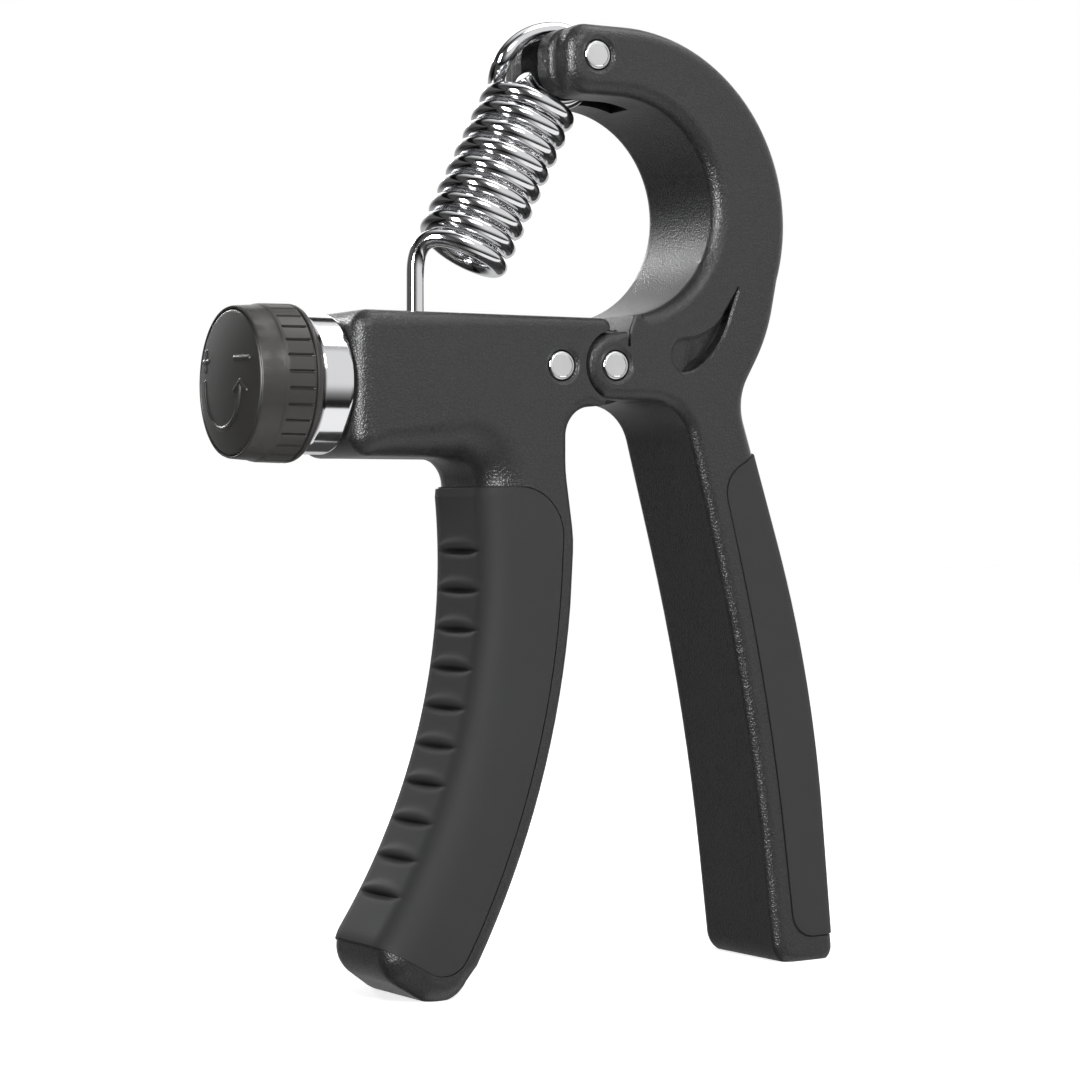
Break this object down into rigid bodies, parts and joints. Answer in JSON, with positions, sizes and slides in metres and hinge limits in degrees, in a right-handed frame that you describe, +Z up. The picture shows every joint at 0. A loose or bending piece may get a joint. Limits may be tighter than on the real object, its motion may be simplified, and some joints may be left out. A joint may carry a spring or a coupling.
{
  "type": "hand grip strengthener",
  "caption": "Adjustable hand grip strengthener: rubber-clad handles on a cross pin, closed against an extension coil spring whose pull is set by a turning knob.",
  "frame": {"origin": "centre of the bounding box at the level of the table, with the tool standing on its handle tips", "axes": "+Z up from the handle tips to the top of the arm; +Y across the thickness, away from the face seen in front view; -X towards the adjusting knob, +X towards the rear handle"},
  "size_m": [0.1048, 0.0248, 0.1559],
  "materials": {
    "body": "fine leather grain",
    "grip": "smooth matte",
    "knob": "matte",
    "chrome": "polished",
    "steel": "machined",
    "brass": "machined",
    "nylon": "moulded"
  },
  "bodies": {
    "frame": {"front_handle": "body", "front_grip": "grip", "pivot_sleeve": "steel", "bearing_pin": "chrome", "barrel_collar": "chrome", "mouth_bush": "nylon", "screw_bearing": "nylon"},
    "rear_handle": {"rear_handle": "body", "rear_grip": "grip", "pivot_pin": "chrome"},
    "top_pin": {"top_pin": "chrome"},
    "spring": {"spring": "chrome"},
    "knob": {"knob_shell": "knob", "knob_cap": "knob", "knob_screw": "steel", "lead_screw": "steel", "thrust_washer": "brass", "retaining_clip": "steel"},
    "slider": {"slider_block": "nylon", "slider_nut": "brass", "hook_pin": "chrome"}
  },
  "joints": [
    {"name": "squeeze", "type": "hinge", "parent": "frame", "child": "rear_handle", "pos_m": [0.0119, 0, 0.0994], "axis": [0, 1, 0], "range_deg": [0, 30], "stiffness_Nm_per_rad": 3, "springref_deg": -45.84},
    {"name": "knob_turn", "type": "hinge", "parent": "frame", "child": "knob", "pos_m": [-0.04219, 0, 0.09711], "axis": [0.9996, 0, -0.0279], "range_deg": [0, 1350]},
    {"name": "slider_travel", "type": "slide", "parent": "frame", "child": "slider", "axis": [-0.9996, 0, 0.0279], "range_m": [0, 0.0075]},
    {"name": "top_pin_turn", "type": "hinge", "parent": "rear_handle", "child": "top_pin", "pos_m": [0.00989, 0, 0.14928], "axis": [0, 1, 0], "range_deg": [0, 6.91]},
    {"name": "spring_swing", "type": "hinge", "parent": "top_pin", "child": "spring", "pos_m": [0.0987, 0, 0.10545], "axis": [0, 1, 0], "range_deg": [-7.35, 0], "deforming": ["spring"]}
  ],
  "couplings": [
    {"joint": "slider_travel", "follows": "knob_turn", "m_per_rad": 0.00031831},
    {"joint": "top_pin_turn", "follows": "knob_turn", "ratio": 0.00508},
    {"joint": "spring_swing", "follows": "squeeze", "ratio": -0.2432}
  ]
}
